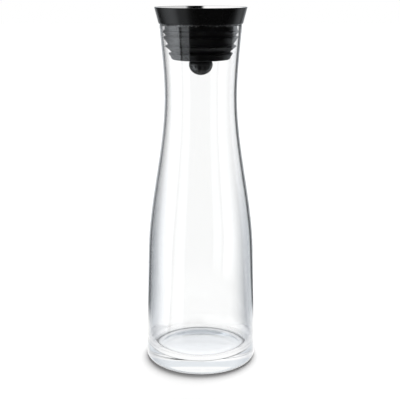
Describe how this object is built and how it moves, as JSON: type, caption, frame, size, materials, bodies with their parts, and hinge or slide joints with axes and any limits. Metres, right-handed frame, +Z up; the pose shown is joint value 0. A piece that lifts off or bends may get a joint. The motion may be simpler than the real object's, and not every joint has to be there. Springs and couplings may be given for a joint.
{
  "type": "water carafe with pouring stopper",
  "caption": "Tall clear-glass carafe with a waisted neck and a black pouring stopper: barbed soft lips seal the mouth, and a weighted ball tips the steel flap open to pour.",
  "frame": {"origin": "on the carafe's axis, in the plane of the flat foot ring that it stands on", "axes": "+Z up along the axis of the carafe and stopper; +X towards the side that the flap opens on"},
  "size_m": [0.0946, 0.0946, 0.3],
  "materials": {
    "clear_glass": "clear, fire-polished rim",
    "black_plastic": "satin black, fine moulded grain",
    "polished_steel": "polished, with fine turning marks",
    "black_silicone": "satin black",
    "grey_plastic": "dark grey, as moulded",
    "gasket_silicone": "matt dark grey",
    "turned_steel": "turned",
    "ball_plastic": "satin black"
  },
  "bodies": {
    "carafe": {"carafe": "clear_glass"},
    "stopper": {"pour_collar": "black_plastic", "funnel_liner": "polished_steel", "sealing_sleeve": "black_silicone", "guide_spider": "grey_plastic"},
    "flap": {"flap_cap": "polished_steel", "flap_carrier": "grey_plastic", "flap_gasket": "gasket_silicone", "pendulum_stem": "turned_steel", "ball_upper_shell": "ball_plastic", "ball_lower_shell": "ball_plastic", "ball_weight": "turned_steel", "weight_nut": "turned_steel"}
  },
  "joints": [
    {"name": "stopper_lift", "type": "slide", "parent": "carafe", "child": "stopper", "axis": [0, 0, 1], "range_m": [0, 0.08]},
    {"name": "flap_tilt", "type": "hinge", "parent": "stopper", "child": "flap", "pos_m": [-0.0222, 0, 0.2903], "axis": [0, -1, 0], "range_deg": [0, 16]}
  ]
}
